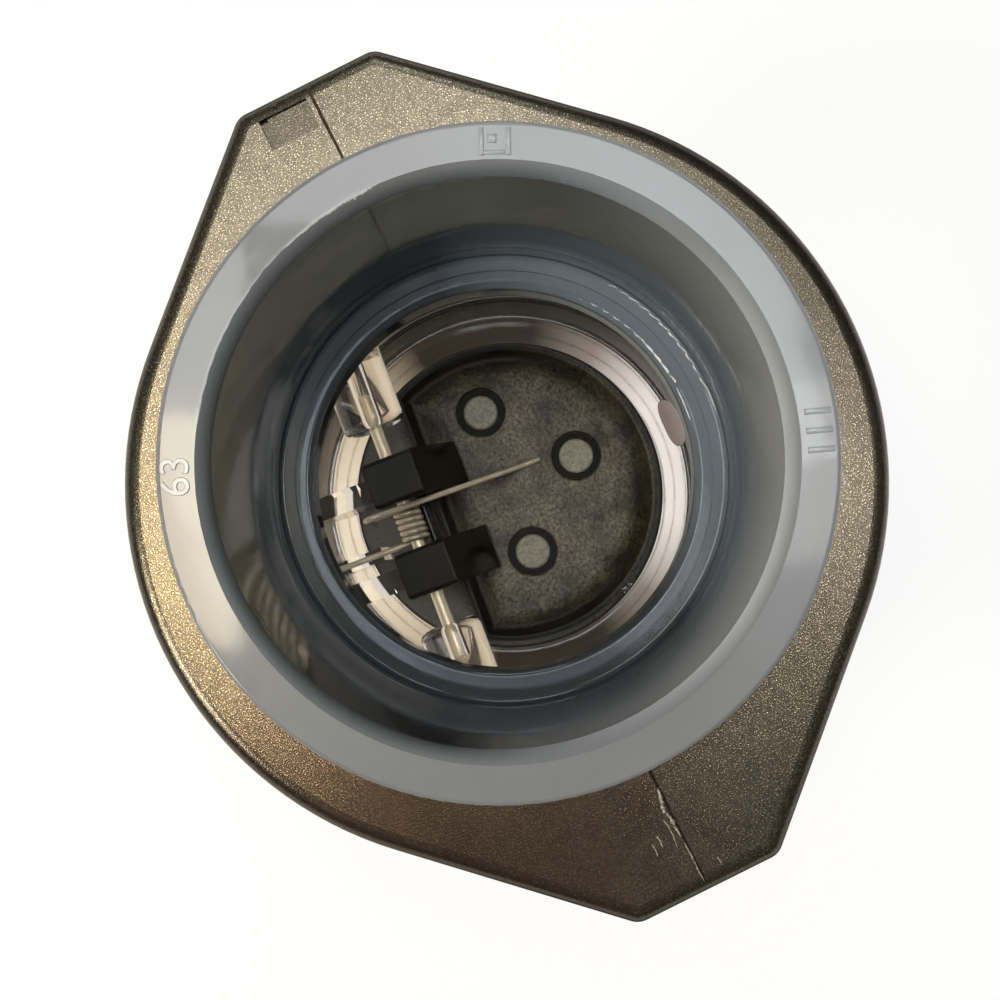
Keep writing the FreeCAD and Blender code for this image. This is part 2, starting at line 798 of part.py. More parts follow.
def long_leg():
    """From the top of the coil back, round a tight bend and down to the middle of the flap."""
    leave = math.radians(coil_leave_angle)
    start_y = pin_setback - coil_radius * math.sin(leave)
    start_z = pin_z + coil_radius * math.cos(leave)
    back_y = start_y + long_leg_back * math.cos(leave)
    back_z = start_z + long_leg_back * math.sin(leave)
    bend_y = back_y - long_leg_bend * math.sin(leave)
    bend_z = back_z + long_leg_bend * math.cos(leave)
    rest_z = flap_floor_z + wire_radius + spring_rest_gap
    knee_y = -long_leg_overhang
    reach = math.hypot(bend_y - knee_y, bend_z - rest_z)
    slope = math.atan2(bend_z - rest_z, bend_y - knee_y) + math.asin(long_leg_bend / reach)
    off_y = bend_y - long_leg_bend * math.sin(slope)
    off_z = bend_z + long_leg_bend * math.cos(slope)
    back_most = (leave + slope + math.pi) / 2
    mid_y = bend_y + long_leg_bend * math.sin(back_most)
    mid_z = bend_z - long_leg_bend * math.cos(back_most)
    cut_back = long_leg_tip_bend * math.tan(slope / 2)
    knee_in = (knee_y + cut_back * math.cos(slope), rest_z + cut_back * math.sin(slope))
    knee_out = (knee_y - cut_back, rest_z)
    knee_mid_y = knee_out[0] + long_leg_tip_bend * math.sin(slope / 2)
    knee_mid_z = rest_z + long_leg_tip_bend * (1 - math.cos(slope / 2))

    def at(y, z):
        return Vector(0, y - pin_setback, z)

    edges = [
        Part.LineSegment(at(start_y, start_z), at(back_y, back_z)).toShape(),
        Part.Arc(at(back_y, back_z), at(mid_y, mid_z), at(off_y, off_z)).toShape(),
        Part.LineSegment(at(off_y, off_z), at(*knee_in)).toShape(),
        Part.Arc(at(*knee_in), at(knee_mid_y, knee_mid_z), at(*knee_out)).toShape(),
        Part.LineSegment(at(*knee_out), at(knee_out[0] - long_leg_tip, rest_z)).toShape(),
    ]
    leg = swept(Part.Wire(edges), False)
    leg = leg.fuse(Part.makeSphere(joint_swell * wire_radius, at(start_y, start_z)))
    leg.rotate(Vector(0, 0, 0), Vector(0, 0, 1), long_leg_skew)
    leg.translate(Vector(coil_start_x() + coil_turn_total() * coil_pitch, pin_setback, 0))
    return leg


def short_leg():
    """From the bottom of the coil straight back onto its rib."""
    x = coil_start_x()
    z = pin_z - coil_radius
    end_y = math.sqrt(chamber_radius ** 2 - x ** 2) - short_leg_wall_gap
    leg = Part.makeCylinder(wire_radius, end_y - pin_setback, Vector(x, pin_setback, z), Vector(0, 1, 0))
    return leg.fuse(Part.makeSphere(joint_swell * wire_radius, Vector(x, pin_setback, z)))


def torsion_spring():
    return with_hinge(coil().fuse([long_leg(), short_leg()]))


nodes = {
    "outlet_body": outlet_body(),
    "inlet_body": inlet_body(),
    "body_o_ring": body_o_ring(),
    "clamp_half_hinge_side": clamp_half().cut(mould_mark()),
    "clamp_half_far_side": half_turn(clamp_half()),
    "clamp_bolts": both_bolts(clamp_bolt()),
    "clamp_washers": both_bolts(clamp_washer()),
    "clamp_nuts": both_bolts(clamp_nut()),
    "seat_ring": seat_ring(),
    "seat_o_ring": seat_o_ring(),
    "flap_plate": flap_plate(),
    "flap_seal": flap_seal(),
    "seal_backing_plate": seal_backing_plate(),
    "stud_lock_rings": stud_lock_rings(),
    "hinge_pin": hinge_pin(),
    "pin_plug": pin_plug(),
    "torsion_spring": torsion_spring(),
}

os.makedirs("parts", exist_ok=True)
for name, shape in nodes.items():
    shape.exportStep("parts/" + name + ".step")
    print(name, "solids", len(shape.Solids), "valid", shape.isValid(), "volume", round(shape.Volume, 1))
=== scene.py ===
import json
import math

import bmesh
import bpy
from mathutils import Matrix, Vector
from mathutils import noise as noise_field


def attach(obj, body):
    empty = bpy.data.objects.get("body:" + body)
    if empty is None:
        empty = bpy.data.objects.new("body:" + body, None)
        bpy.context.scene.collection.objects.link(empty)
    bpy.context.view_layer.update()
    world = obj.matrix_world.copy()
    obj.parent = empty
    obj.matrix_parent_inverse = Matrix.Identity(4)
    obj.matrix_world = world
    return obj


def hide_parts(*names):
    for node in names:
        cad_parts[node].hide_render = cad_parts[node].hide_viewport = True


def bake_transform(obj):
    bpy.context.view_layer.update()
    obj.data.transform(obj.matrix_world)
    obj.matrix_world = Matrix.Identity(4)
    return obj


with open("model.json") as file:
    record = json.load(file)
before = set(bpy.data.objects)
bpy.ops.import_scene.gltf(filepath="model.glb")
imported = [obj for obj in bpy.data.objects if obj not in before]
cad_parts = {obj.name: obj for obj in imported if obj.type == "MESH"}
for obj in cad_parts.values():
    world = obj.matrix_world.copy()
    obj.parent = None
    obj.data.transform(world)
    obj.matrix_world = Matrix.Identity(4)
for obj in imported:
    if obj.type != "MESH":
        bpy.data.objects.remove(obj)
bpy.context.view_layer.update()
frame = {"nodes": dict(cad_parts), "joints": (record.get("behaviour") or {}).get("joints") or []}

nodes = frame["nodes"]

# The inlet body: the lower half of the valve, injection moulded in clear PVC with its pipe socket,
# the bowl that holds the flap, two bosses for the pin and three ribs, all in one piece. The pad where
# the mould was filled and a tooth of flash are still on it. Sizes are in millimetres, angles in degrees.
MM = 0.001
pvc_ior = 1.53
inlet_clear = (0.92, 0.89, 0.84)
inlet_milk = (0.60, 0.55, 0.48)
inlet_shadow = (0.86, 0.84, 0.84)
# Side of the socket wall with a painted sheen, and the lit side of the throat's lip with a painted glow.
sheen_wall_side = (-0.6, -0.8, 0.0)
lit_lip_side = (0.15, -0.99, 0.0)
wall_sheen_below_rim = (30.0, 4.0)
rim_skin_below_rim = (1.6, 0.2)
lip_below_rim = (40.8, 39.4)
bowl_curve_top = 64.0
bowl_curve_radius = 18.27
bowl_curve_centre_radius = 19.13
pad_radius = 33.35
pad_half_width = 1.45
pad_middle = -93.0
pad_half_angle = 8.0
pad_side_steps = ((1.0, -0.12), (1.0, 0.0), (0.97, 0.1), (0.90, 0.16), (0.45, 0.17), (0.04, 0.17))
witness_angle = -96.0
witness_radii = (34.7, 35.1, 35.5, 35.9)
tooth_angle = -155.0
tooth_root_radius = 29.0
tooth_reach = 2.5
tooth_half_angle = 1.3
tooth_thickness = 0.45
tooth_top = 49.2


def material(name):
    """An empty node material."""
    made = bpy.data.materials.new(name)
    made.use_nodes = True
    made.node_tree.nodes.clear()
    return made


def add(tree, kind, inputs=(), **settings):
    """Adds a shader node. Each input takes a number, a colour or another node's output."""
    made = tree.nodes.new("ShaderNode" + kind)
    for name, value in settings.items():
        setattr(made, name, value)
    for name, value in dict(inputs).items():
        if isinstance(value, bpy.types.NodeSocket):
            tree.links.new(value, made.inputs[name])
        else:
            made.inputs[name].default_value = value
    return made


def place(tree):
    """Where a point lies in the valve, in metres."""
    return add(tree, "TexCoord").outputs["Object"]


def grain(tree, scale, detail=4.0, roughness=0.6):
    """Soft random mottle between 0 and 1."""
    inputs = {"Vector": place(tree), "Scale": scale, "Detail": detail, "Roughness": roughness}
    return add(tree, "TexNoise", inputs).outputs["Fac"]


def spread(tree, value, low, high, to_low, to_high):
    """Maps the range low to high of a value onto to_low to to_high, and holds it at both ends."""
    inputs = {"Value": value, "From Min": low, "From Max": high, "To Min": to_low, "To Max": to_high}
    return add(tree, "MapRange", inputs).outputs["Result"]


def shade(tree, value, *stops):
    """Colours picked by a value: each stop is a place from 0 to 1 and a colour."""
    ramp = add(tree, "ValToRGB", {"Fac": value})
    elements = ramp.color_ramp.elements
    while len(elements) < len(stops):
        elements.new(0.5)
    for element, (at, colour) in zip(elements, stops):
        element.position = at
        element.color = (*colour, 1)
    return ramp.outputs["Color"]


def bumped(tree, height, strength, distance):
    """Surface direction tilted by a height pattern."""
    inputs = {"Height": height, "Strength": strength, "Distance": distance}
    return add(tree, "Bump", inputs).outputs["Normal"]


def output(tree, shader):
    """Ends a material with its surface shader."""
    add(tree, "OutputMaterial", {"Surface": shader})


def height_of(tree):
    """Height above the inlet rim, in metres."""
    return add(tree, "SeparateXYZ", {0: place(tree)}).outputs["Z"]


def towards(tree, side):
    """How far a point lies towards one side of the valve: 1 on that side, -1 on the other."""
    outward = add(tree, "VectorMath", {0: place(tree), 1: (1000, 1000, 0)}, operation="MULTIPLY").outputs[0]
    outward = add(tree, "VectorMath", {0: outward}, operation="NORMALIZE").outputs[0]
    return add(tree, "VectorMath", {0: outward, 1: side}, operation="DOT_PRODUCT").outputs["Value"]


def below(tree, top, distances, at_first, at_second):
    """Changes from one number to another between two distances below a height."""
    first, second = [(top - distance) * MM for distance in distances]
    return spread(tree, height_of(tree), first, second, at_first, at_second)


def total(tree, *values):
    """Adds up the outputs of several nodes."""
    summed = values[0]
    for value in values[1:]:
        summed = add(tree, "Math", {0: summed, 1: value}, operation="ADD").outputs[0]
    return summed


def product(tree, value, share):
    """Multiplies two outputs."""
    return add(tree, "Math", {0: value, 1: share}, operation="MULTIPLY").outputs[0]


def clear_pvc(name, clear, milk, milk_share, shadow, rim_z=1000.0,
              rim_share=0.0, wall_sheen_share=0.0, lip_glow_share=0.0):
    """Clear PVC with a little milk in it: light goes through the clear share and the milk scatters it.

    More milk goes to the rim and to the throat's lip, 41 mm below, on the lip's lit side only: a painted glow
    for light that the long socket wall gathers, at the rim also its milkier moulded face. The wall sheen
    share is more milk high on one side of the wall, a painted sheen where light falls on it, and the
    shadow colour is what comes through of a lamp's light.
    """
    made = material(name)
    tree = made.node_tree
    cloud = grain(tree, 55.0)
    flow = grain(tree, 180.0, 2.0)
    tilt = bumped(tree, flow, 0.05, 0.3 * MM)
    through = add(tree, "BsdfPrincipled", {
        "Base Color": shade(tree, cloud, (0.35, clear), (0.7, [c * 0.95 for c in clear])),
        "Roughness": spread(tree, flow, 0.3, 0.7, 0.03, 0.09),
        "IOR": pvc_ior,
        "Transmission Weight": 1.0,
        "Normal": tilt,
    })
    scatter = add(tree, "BsdfPrincipled", {
        "Base Color": shade(tree, cloud, (0.3, milk), (0.75, [c * 0.86 for c in milk])),
        "Roughness": 0.28,
        "IOR": pvc_ior,
        "Normal": tilt,
    })
    share = spread(tree, cloud, 0.25, 0.75, milk_share * 0.8, milk_share * 1.2)
    # More milk high on one side of the wall: a painted sheen where light falls on it.
    sideways = spread(tree, towards(tree, sheen_wall_side), 0.0, 1.0, 0.0, 1.0)
    below_rim = below(tree, rim_z, rim_skin_below_rim, 1.0, 0.0)
    up_wall = below(tree, rim_z, wall_sheen_below_rim, 0.0, wall_sheen_share)
    painted_wall_sheen = product(tree, product(tree, sideways, up_wall), below_rim)
    # More milk at the rim, partly its milkier moulded face and partly a painted glow, and a painted glow on
    # the lip's lit side.
    rim_milk_and_glow = spread(tree, below_rim, 1.0, 0.0, 0.0, rim_share)
    lit_lip = spread(tree, towards(tree, lit_lip_side), 0.3, 0.9, 0.0, lip_glow_share)
    painted_lip_glow = product(tree, lit_lip, below(tree, rim_z, lip_below_rim, 1.0, 0.0))
    share = total(tree, share, painted_wall_sheen, painted_lip_glow, rim_milk_and_glow)
    body = add(tree, "MixShader", {"Fac": share, 1: through.outputs[0], 2: scatter.outputs[0]})
    let_in = add(tree, "BsdfTransparent", {"Color": (*shadow, 1)})
    is_shadow = add(tree, "LightPath").outputs["Is Shadow Ray"]
    lit = add(tree, "MixShader", {"Fac": is_shadow, 1: body.outputs[0], 2: let_in.outputs[0]})
    output(tree, lit.outputs[0])
    return made


def finish(node, made):
    """Gives a CAD node its material."""
    nodes[node].data.materials.clear()
    nodes[node].data.materials.append(made)


def piece(shape, name, smooth=True):
    """Makes an object of a bmesh."""
    bmesh.ops.recalc_face_normals(shape, faces=shape.faces)
    mesh = bpy.data.meshes.new(name)
    shape.to_mesh(mesh)
    shape.free()
    for face in mesh.polygons:
        face.use_smooth = smooth
    made = bpy.data.objects.new(name, mesh)
    bpy.context.scene.collection.objects.link(made)
    return made


def loft(rings, name):
    """Skin over a row of closed rings of points, with both ends closed."""
    shape = bmesh.new()
    rows = [[shape.verts.new(point) for point in ring] for ring in rings]
    for row, following in zip(rows, rows[1:]):
        for step in range(len(row)):
            after = (step + 1) % len(row)
            shape.faces.new((row[step], row[after], following[after], following[step]))
    shape.faces.new(list(reversed(rows[0])))
    shape.faces.new(rows[-1])
    return piece(shape, name)


def tube(path, radius, sides, name):
    """Round wire along a line of points, turned as little as possible from one point to the next."""
    rings = []
    across = Vector((0, 0, 1)).orthogonal()
    for index, point in enumerate(path):
        before = path[max(index - 1, 0)]
        after = path[min(index + 1, len(path) - 1)]
        ahead = (after - before).normalized()
        across = (across - across.dot(ahead) * ahead).normalized()
        up = ahead.cross(across)
        angles = [2 * math.pi * step / sides for step in range(sides)]
        rings.append([point + radius * (math.cos(a) * across + math.sin(a) * up) for a in angles])
    return loft(rings, name)


def polar(radius, degrees, z):
    """A point at a radius from the valve's axis, at an angle from its X axis, all sizes in millimetres."""
    angle = math.radians(degrees)
    return Vector((radius * math.cos(angle), radius * math.sin(angle), z)) * MM


def dress(made, finish_of_it, body="housing"):
    """Gives a made piece its material and the body it rides on."""
    made.data.materials.append(finish_of_it)
    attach(made, body)


def bowl_height_at(radius):
    """Height of the bowl's inner face, which curves up from the seat, in millimetres."""
    return bowl_curve_top - math.sqrt(bowl_curve_radius ** 2 - (radius - bowl_curve_centre_radius) ** 2)


def gate_pad(name):
    """Slightly raised oval pad on the side of the bowl, where the mould was filled."""
    rings = []
    corners = 48
    for scale, lift in pad_side_steps:
        ring = []
        for step in range(corners):
            angle = 2 * math.pi * step / corners
            along = math.copysign(abs(math.cos(angle)) ** 0.75, math.cos(angle))
            radius = pad_radius + pad_half_width * scale * math.sin(angle)
            inward = lift * 0.7
            ring.append(polar(radius - inward, pad_middle + pad_half_angle * scale * along,
                              bowl_height_at(radius) + inward))
        rings.append(ring)
    return loft(rings, name)


def flash_tooth(name):
    """Small triangle of flash left on the edge of the bowl."""
    rings = []
    for share in (0.0, 0.25, 0.5, 0.75, 0.96):
        half = tooth_half_angle * (1 - share) ** 0.8
        radius = tooth_root_radius - tooth_reach * share
        top = tooth_top + 0.5 * share
        under = top - tooth_thickness * (1 - share) - 0.05
        rings.append([
            polar(radius, tooth_angle + 2.0 * half, top),
            polar(radius, tooth_angle - 2.0 * half, top - 0.1),
            polar(radius, tooth_angle - 1.8 * half, under),
            polar(radius, tooth_angle + 1.8 * half, under + 0.05 * (1 - share)),
        ])
    return loft(rings, name)


inlet_pvc = clear_pvc("clear PVC, inlet", inlet_clear, inlet_milk, 0.005, inlet_shadow)
finish("inlet_body", inlet_pvc)
pad_pvc = clear_pvc("clear PVC, gate pad", (0.84, 0.76, 0.72), (0.50, 0.42, 0.40), 0.7, inlet_shadow)
dress(gate_pad("gate_pad"), pad_pvc)
witness_path = [polar(radius, witness_angle, bowl_height_at(radius) + 0.05) for radius in witness_radii]
dress(tube(witness_path, 0.1 * MM, 8, "gate_witness_line"), inlet_pvc)
dress(flash_tooth("flash_tooth"), inlet_pvc)

# The seat ring: a short black moulded cup pushed up into the inlet body, with a D-shaped opening in
# its floor that the flap seals on. An O-ring in its groove seals it in its pocket.


def moulded(name, dark, light, roughness, scale, bump, sheer=1.5):
    """Moulded plastic with a fine satin mottle. The lower its sheer number, the less it mirrors."""
    made = material(name)
    tree = made.node_tree
    mottle = grain(tree, scale, 6.0, 0.7)
    cloud = grain(tree, scale / 9, 3.0)
    skin = add(tree, "BsdfPrincipled", {
        "Base Color": shade(tree, mottle, (0.3, dark), (0.75, light)),
        "Roughness": spread(tree, cloud, 0.3, 0.7, roughness - 0.08, roughness + 0.1),
        "IOR": sheer,
        "Normal": bumped(tree, mottle, bump, 0.4 * MM),
    })
    output(tree, skin.outputs[0])
    return made


seat_plastic = moulded("seat ring plastic", (0.03, 0.028, 0.022), (0.07, 0.068, 0.055),
                       roughness=0.32, scale=1500.0, bump=0.2)
rubber = moulded("seal rubber", (0.008, 0.008, 0.008), (0.02, 0.02, 0.02),
                 roughness=0.6, scale=2600.0, bump=0.5)
finish("seat_ring", seat_plastic)
finish("seat_o_ring", rubber)

# The flap: a black moulded dish with two ears that hang on the pin. A rubber disc under it is held
# by a backing plate, whose three studs come up through the dish and are locked by pressed rings.
flap_floor_z = 54.04
flap_rim_z = 58.04
# The dish's pale mottle is partly a painted sheen on its floor, and a painted sheen on its free side, beyond
# these distances from the pin.
to_free_end = (-0.105, -0.9945, 0.0)
sheen_from_pin = (8.0, 22.0)
polished_black = (0.005, 0.004, 0.003, 1)
dull_floor_dark = (0.018, 0.014, 0.007)
floor_and_sheen_light = (0.185, 0.155, 0.09)


def mixed(tree, share, first, second):
    """Mixes two colours, each given as a colour or as another node's output."""
    return add(tree, "Mix", {"Factor": share, 6: first, 7: second}, data_type="RGBA").outputs[2]


def black_dish(name):
    """Black plastic: the dish's floor and its free side are dull and mottled, the rest is polished."""
    made = material(name)
    tree = made.node_tree
    mottle = grain(tree, 1500.0, 5.0, 0.75)
    patches = grain(tree, 110.0, 5.0, 0.65)
    pebbles = grain(tree, 900.0, 3.0, 0.6)
    height = height_of(tree)
    dull = spread(tree, height, (flap_floor_z + 0.05) * MM, (flap_floor_z + 2.0) * MM, 1.0, 0.0)
    in_dish = spread(tree, height, (flap_rim_z + 0.1) * MM, (flap_rim_z + 0.3) * MM, 1.0, 0.0)
    worn = spread(tree, patches, 0.36, 0.62, 0.15, 1.0)
    # The free side is painted paler and made dull: a painted sheen where light falls on it.
    from_pin = {0: place(tree), 1: to_free_end}
    free_end = add(tree, "VectorMath", from_pin, operation="DOT_PRODUCT").outputs["Value"]
    free_side_sheen = spread(tree, free_end, sheen_from_pin[0] * MM, sheen_from_pin[1] * MM, 0.0, 0.4)
    dull_and_sheen = add(tree, "Math", {0: dull, 1: free_side_sheen}, operation="MAXIMUM").outputs[0]
    # worn is the pale share: random patches on the dull floor, partly painted sheen, and on the free side's
    # painted sheen.
    worn = product(tree, product(tree, worn, dull_and_sheen), in_dish)
    floor_and_sheen_colour = shade(tree, mottle, (0.38, dull_floor_dark), (0.64, floor_and_sheen_light))
    colour = mixed(tree, worn, polished_black, floor_and_sheen_colour)
    rough = spread(tree, dull_and_sheen, 0.0, 1.0, 0.18, 0.42)
    lift = spread(tree, dull, 0.0, 1.0, 0.05, 0.9)
    rounded_edge = add(tree, "Bevel", {"Radius": 0.6 * MM}, samples=4).outputs[0]
    pebbled = {"Height": pebbles, "Strength": lift, "Distance": 0.3 * MM, "Normal": rounded_edge}
    skin = add(tree, "BsdfPrincipled", {
        "Base Color": colour,
        "Roughness": rough,
        "IOR": 1.42,
        "Normal": add(tree, "Bump", pebbled).outputs[0],
    })
    output(tree, skin.outputs[0])
    return made


stud_plastic = moulded("backing plate plastic", (0.10, 0.09, 0.065), (0.36, 0.33, 0.25),
                       roughness=0.45, scale=1700.0, bump=0.5)
# The lock rings are near black and barely mirror.
ring_black = moulded("lock ring, near black", (0.002, 0.002, 0.002), (0.006, 0.006, 0.005),
                     roughness=0.35, scale=1500.0, bump=0.2, sheer=1.2)
finish("flap_plate", black_dish("black moulded plastic"))
finish("flap_seal", rubber)
finish("seal_backing_plate", stud_plastic)
finish("stud_lock_rings", ring_black)

# The hinge pin: a length of drawn stainless bar held in the bosses of the inlet body. The hole it
# goes in by is closed from outside with a short plug of clear PVC that has a slot for a driver.


def drawn_steel(name, dark, light, roughness):
    """Drawn steel with fine lines that run round the bar."""
    made = material(name)
    tree = made.node_tree
    lines = grain(tree, 1400.0, 2.0)
    smear = grain(tree, 260.0, 3.0)
    skin = add(tree, "BsdfPrincipled", {
        "Base Color": shade(tree, smear, (0.3, dark), (0.75, light)),
        "Metallic": 0.75,
        "Roughness": spread(tree, smear, 0.3, 0.7, roughness - 0.05, roughness + 0.08),
        "Normal": bumped(tree, lines, 0.08, 0.2 * MM),
    })
    output(tree, skin.outputs[0])
    return made


steel = drawn_steel("bright drawn steel", (0.82, 0.70, 0.50), (0.95, 0.84, 0.64), roughness=0.42)
finish("hinge_pin", steel)
finish("pin_plug", inlet_pvc)

# The torsion spring: stainless wire wound round the pin between the ears. Its short leg lies on a
# rib of the inlet body and its long leg bends back over the pin and presses the flap shut.
hinge = frame["joints"][0]
pin_middle = Vector(hinge["pos_m"])
along_pin = -Vector(hinge["axis"])
to_hinge = Vector((-along_pin.y, along_pin.x, 0.0))
wire_radius = 0.53 * MM
coil_radius = 1.98 * MM
coil_pitch = 1.11 * MM
coil_turns = 5
coil_leave_angle = math.radians(25.0)
coil_offset = 0.4 * MM
long_leg_back = 7.0 * MM
long_leg_bend = 1.7 * MM
long_leg_drop = -22.2 * MM
long_leg_floor = -13.33 * MM
long_leg_tip = 2.4 * MM
long_leg_tip_bend = 3.0 * MM
long_leg_skew = math.radians(1.4)
short_leg_end = 18.5 * MM
wire_sides = 14
short_leg_steps = 12
long_leg_steps = 24
coil_turn_steps = 48
back_bend_steps = 16
tip_bend_steps = 8


def hinge_point(x, y, z):
    """A point given along the pin, towards the hinge's back and up from the pin's middle."""
    return pin_middle + x * along_pin + y * to_hinge + Vector((0, 0, z))


def arc_points(centre_y, centre_z, radius, start, end, steps):
    """Points on an arc in the plane across the pin."""
    points = []
    for step in range(steps + 1):
        angle = start + (end - start) * step / steps
        points.append((centre_y + radius * math.cos(angle), centre_z + radius * math.sin(angle)))
    return points


def spring_path():
    """Short leg, coil and long leg in one line of points."""
    turns = coil_turns + (math.pi - coil_leave_angle) / (2 * math.pi)
    start_x = coil_offset - turns * coil_pitch / 2
    end_x = start_x + turns * coil_pitch
    path = []
    for step in range(short_leg_steps):
        path.append(hinge_point(start_x, short_leg_end * (1 - step / short_leg_steps), -coil_radius))
    steps = int(coil_turn_steps * turns)
    for step in range(steps + 1):
        turn = 2 * math.pi * turns * step / steps
        path.append(hinge_point(start_x + turns * coil_pitch * step / steps,
                                -coil_radius * math.sin(turn), -coil_radius * math.cos(turn)))
    leave = coil_leave_angle
    start = (-coil_radius * math.sin(leave), coil_radius * math.cos(leave))
    back = (start[0] + long_leg_back * math.cos(leave), start[1] + long_leg_back * math.sin(leave))
    bend = (back[0] - long_leg_bend * math.sin(leave), back[1] + long_leg_bend * math.cos(leave))
    reach = math.hypot(bend[0] - long_leg_drop, bend[1] - long_leg_floor)
    slope = math.atan2(bend[1] - long_leg_floor, bend[0] - long_leg_drop) + math.asin(long_leg_bend / reach)
    cut_back = long_leg_tip_bend * math.tan(slope / 2)
    leg = [back]
    leg += arc_points(*bend, long_leg_bend, leave - math.pi / 2, slope + math.pi / 2, back_bend_steps)
    knee = (long_leg_drop + cut_back * math.cos(slope), long_leg_floor + cut_back * math.sin(slope))
    last = leg[-1]
    for step in range(1, long_leg_steps):
        leg.append((last[0] + (knee[0] - last[0]) * step / long_leg_steps,
                    last[1] + (knee[1] - last[1]) * step / long_leg_steps))
    knee_centre = (long_leg_drop - cut_back, long_leg_floor + long_leg_tip_bend)
    leg += arc_points(*knee_centre, long_leg_tip_bend, slope - math.pi / 2, -math.pi / 2, tip_bend_steps)
    leg.append((long_leg_drop - cut_back - long_leg_tip, long_leg_floor))
    for y, z in leg:
        path.append(hinge_point(end_x - y * math.sin(long_leg_skew), y * math.cos(long_leg_skew), z))
    return path


spring_steel = drawn_steel("spring wire", (0.48, 0.41, 0.30), (0.68, 0.60, 0.46), roughness=0.42)
spring = tube(spring_path(), wire_radius, wire_sides, "spring_wire")
spring.data.materials.append(spring_steel)
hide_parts("torsion_spring")
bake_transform(spring)

# The outlet body: the upper half with the socket, the throat and the roof of the chamber, moulded in
# the same clear PVC. It stands on the inlet body with a register and an O-ring between the flanges.
# Its rim carries the pipe size, two groups of moulded marks and a burr along its inner edge.


def top_of(node):
    """Height of the highest point of a CAD node, in millimetres."""
    corners = [nodes[node].matrix_world @ Vector(corner) for corner in nodes[node].bound_box]
    return round(max(corner.z for corner in corners) / MM, 2)


rim_z = top_of("outlet_body")
# The outlet's clear share is tinted far darker than the inlet's: a painted shade for the dark that shows
# through its socket wall.
outlet_clear_shaded = (0.118, 0.138, 0.162)
outlet_milk = (0.465, 0.487, 0.502)
outlet_shadow = (0.80, 0.84, 0.88)
burr_first = -4.0
burr_sweep = 63.0
burr_steps = 520
burr_root_radius = 33.14
burr_chewed_share = 0.42
number_radius = 35.1
number_angle = 66.3
number_height = 3.3
digit_height_share = 0.72
mark_rise = 0.17
right_marks_angle = -111.4
top_marks_angle = -26.3
# The outlet's PVC carries the painted sheen on one side of its wall and the painted glow at its rim and lip.
outlet_pvc = clear_pvc("clear PVC, outlet", outlet_clear_shaded, outlet_milk, 0.04, outlet_shadow, rim_z,
                       rim_share=0.38, wall_sheen_share=0.85, lip_glow_share=0.95)
finish("outlet_body", outlet_pvc)
finish("body_o_ring", rubber)


def waver(at, seed):
    """Smooth random number, about -1 to 1, that changes over one step of at."""
    return noise_field.noise(Vector((at, seed, 0.5 * seed)))


def rim_burr(name):
    """Ragged lip of flash along the inner edge of the rim: chewed at its first half, wavy further on."""
    rings = []
    for step in range(burr_steps + 1):
        share = step / burr_steps
        degrees = burr_first + burr_sweep * share
        fade = min(1.0, 12 * share, 12 * (1 - share))
        chewed = max(0.0, 1.0 - share / burr_chewed_share)
        reach = 0.16 + 0.10 * waver(share * 22, 3.0)
        reach += chewed * (0.22 + 0.38 * abs(waver(share * 120, 7.0)) + 0.16 * waver(share * 330, 9.0))
        reach = fade * max(reach, 0.05)
        sway = 0.07 * waver(share * 34, 5.0) + 0.10 * chewed * waver(share * 150, 6.0)
        root = burr_root_radius + sway
        sag = 0.10 + 0.35 * chewed * abs(waver(share * 90, 11.0))
        rings.append([
            polar(root + 0.16, degrees, rim_z - 0.03),
            polar(root - 0.10 * reach, degrees, rim_z),
            polar(root - 0.75 * reach, degrees, rim_z - 0.02 - 0.3 * sag * reach),
            polar(root - reach, degrees, rim_z - 0.06 - sag * reach),
            polar(root - 0.7 * reach, degrees, rim_z - 0.16 - sag * reach),
            polar(root + 0.05, degrees, rim_z - 0.22),
        ])
    return loft(rings, name)


def raised_number(text, name, radius, degrees, height):
    """Moulded number on the rim, with its top outwards and its edges rounded off."""
    curve = bpy.data.curves.new(name, "FONT")
    curve.body = text
    curve.size = height / digit_height_share
    curve.align_x = "CENTER"
    curve.align_y = "CENTER"
    curve.offset = -0.02
    curve.extrude = 0.10
    curve.bevel_depth = 0.07
    curve.bevel_resolution = 2
    curve.resolution_u = 8
    holder = bpy.data.objects.new(name, curve)
    bpy.context.scene.collection.objects.link(holder)
    mesh = bpy.data.meshes.new_from_object(holder)
    bpy.data.objects.remove(holder)
    turn = Matrix.Rotation(math.radians(degrees - 90), 4, "Z")
    mesh.transform(Matrix.Scale(MM, 4) @ turn @ Matrix.Translation((0, radius, rim_z)))
    made = bpy.data.objects.new(name, mesh)
    bpy.context.scene.collection.objects.link(made)
    return made


def raised_bar(name, degrees, across, low, high, half_width):
    """Plain raised bar on the rim, from one radius to another, set off sideways from an angle."""
    rings = []
    turn = Matrix.Rotation(math.radians(degrees - 90), 4, "Z")
    for inset, lift in ((0.0, -0.08), (0.0, 0.04), (0.05, 0.12), (0.14, mark_rise)):
        left, right = across - half_width + inset, across + half_width - inset
        corners = [(left, low + inset), (right, low + inset), (right, high - inset), (left, high - inset)]
        rings.append([turn @ Vector((x, y, rim_z + lift)) * MM for x, y in corners])
    return loft(rings, name)


